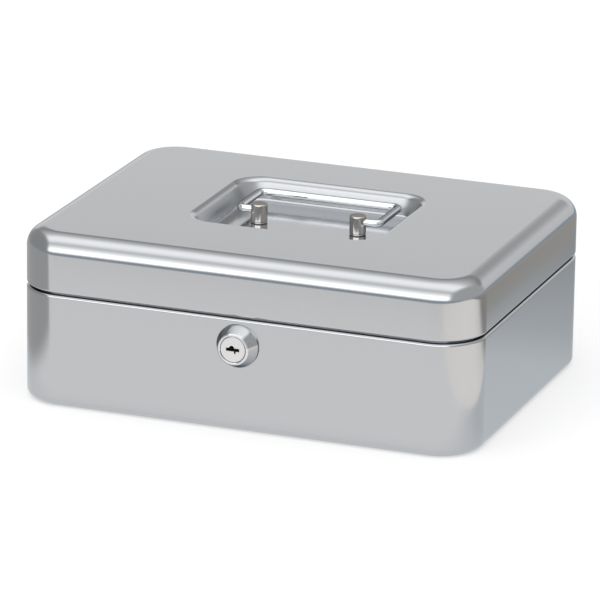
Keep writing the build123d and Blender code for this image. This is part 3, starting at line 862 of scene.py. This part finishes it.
def metal(name, colour, roughness, mark, stretch, spread, relief, edge="FFFFFF"):
    """Metal whose marks are that wide, stretched along each axis, and vary its gloss by a spread.

    edge is its colour at a shallow angle, set darker than in front: a painted dark reflection along each
    rim.
    """
    material, tree, shader = principled(name, Metallic=1.0, Specular_Tint=linear(edge))
    place = add_node(tree, "TexCoord")
    size = [1 / (mark * along) for along in stretch]
    worked = add_node(tree, "Mapping", {"Vector": place.outputs["Object"]}, Scale=size)
    marks = add_node(tree, "TexNoise", {"Vector": worked.outputs[0]}, Scale=1.0, Detail=3.0)
    join_colour(tree, shader, colour, marks.outputs["Fac"], spread / 4, METAL_REACH, METAL_DARKEST)
    gloss = add_node(
        tree, "MapRange", {"Value": marks.outputs["Fac"]}, From_Min=0.3, From_Max=0.7,
        To_Min=roughness * (1 - spread), To_Max=roughness * (1 + spread),
    )
    tree.links.new(gloss.outputs[0], shader.inputs["Roughness"])
    bump = add_node(tree, "Bump", {"Height": marks.outputs["Fac"]}, Strength=0.3, Distance=relief)
    tree.links.new(bump.outputs[0], shader.inputs["Normal"])
    return material


# %% [markdown]
# ## Plated metals
# Chrome, nickel and zinc are all plated on steel or on a zinc casting, and the plate copies the
# surface under it: drawn wire stays smooth, turned posts keep their rings, and a brushed plug face
# stays pale. The bright plates are given a darker colour at a shallow angle, a painted dark
# reflection that draws a thin dark line along the wire's edges.

# %% Plated and bare metals of the box
EVEN = (1, 1, 1)
TURNED = (25, 25, 1)  # rings round an upright axis
BRUSHED = (30, 1, 1)  # lines along X

# Bright chrome on drawn wire: almost a mirror, with faint waves. Its dark edge colour paints a dark
# reflection along its rims.
chrome = metal("chrome_plate_bright", "F0F2F4", 0.045, 1.5 * MM, EVEN, 0.4, 0.004 * MM, edge="30404A")
# Nickel on turned steel: bright, and the rings break its reflections into upright streaks. Its darker edge
# colour paints a dark reflection along its rims.
turned_nickel = metal(
    "nickel_plate_turned", "CAC6C2", 0.07, 0.12 * MM, TURNED, 0.5, 0.003 * MM, edge="8E8A86"
)
# Nickel on a polished zinc casting: smooth, a little softer than the posts. Its dark edge colour paints a
# dark reflection along its rims.
cast_nickel = metal(
    "nickel_plate_on_casting", "D9DADC", 0.06, 0.8 * MM, EVEN, 0.5, 0.004 * MM, edge="6A767E"
)
# The plug's face is brushed, so it stays pale and even beside the bright bezel.
satin_nickel = metal("nickel_plate_brushed", "DCDCDD", 0.3, 0.08 * MM, BRUSHED, 0.3, 0.003 * MM)
# Bright zinc is bluish and cloudy.
zinc = metal("zinc_plate_bright", "C6CAD0", 0.25, 3.0 * MM, EVEN, 0.45, 0.01 * MM)
# Drawn steel has fine lines along the pins.
drawn_steel = metal("steel_drawn", "B0B0B0", 0.24, 0.1 * MM, BRUSHED, 0.35, 0.005 * MM)
# Stamped brass, with faint lines from the strip's rolling.
brass = metal("brass_stamped", "D6B060", 0.22, 0.15 * MM, BRUSHED, 0.35, 0.004 * MM)

# %% [markdown]
# The coin tray is moulded in black ABS. Such a mould is spark-eroded, which leaves a fine even
# grain that keeps the plastic from shining.

# %% Moulded plastic
BLACK = "202022"
# painted shade: how far into the tray's corners its colour is darkened, and how dark it gets
TRAY_REACH, TRAY_DARKEST = 6.0 * MM, 0.5
GRAIN_SIZE = 0.45 * MM
GRAIN_DEPTH = 0.03 * MM
SCUFF_SIZE, SCUFF_SPREAD = 12.0 * MM, 0.25
SCUFF_GLOSS = (0.56, 0.42)  # roughness where coins have dulled it and where it is as moulded


def moulded_plastic():
    """Black plastic with the mould's fine grain."""
    material, tree, shader = principled("abs_black_moulded")
    place = add_node(tree, "TexCoord")
    grain = add_node(tree, "TexVoronoi", {"Vector": place.outputs["Object"]}, Scale=1 / GRAIN_SIZE)
    scuffs = add_node(
        tree, "TexNoise", {"Vector": place.outputs["Object"]}, Scale=1 / SCUFF_SIZE, Detail=4.0
    )
    join_colour(
        tree, shader, BLACK, scuffs.outputs["Fac"], SCUFF_SPREAD, TRAY_REACH, TRAY_DARKEST
    )
    dull, shiny = SCUFF_GLOSS
    gloss = add_node(
        tree, "MapRange", {"Value": scuffs.outputs["Fac"]}, From_Min=0.3, From_Max=0.7,
        To_Min=shiny, To_Max=dull,
    )
    tree.links.new(gloss.outputs[0], shader.inputs["Roughness"])
    bump = add_node(tree, "Bump", {"Height": grain.outputs["Distance"]}, Strength=0.4, Distance=GRAIN_DEPTH)
    tree.links.new(bump.outputs[0], shader.inputs["Normal"])
    return material


# %% [markdown]
# ## Putting the finishes on
# The record names a material slot for every part, so one table from slot to finish covers them
# all. The lock's body shares the posts' slot but is a polished casting, so it gets its own.

# %% Put the finishes on
FINISHES = {
    "silver_lacquer": silver_lacquer(),
    "chrome_wire": chrome,
    "nickel": turned_nickel,
    "satin_nickel": satin_nickel,
    "zinc": zinc,
    "steel_pin": drawn_steel,
    "brass": brass,
    "black_plastic": moulded_plastic(),
}


def finish_piece(piece, finish):
    """Gives a piece one material, in place of any it has."""
    piece.data.materials.clear()
    piece.data.materials.append(finish)


for subpart in frame["record"]["subparts"]:
    finish_piece(frame["nodes"][subpart["node"]], FINISHES[subpart["material_slot"]])
finish_piece(frame["nodes"]["lock_body"], cast_nickel)
for piece in (lid, base, wire, *posts):
    finish_piece(piece, FINISHES[piece["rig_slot"]])
print("finishes", sorted(material.name for material in bpy.data.materials))
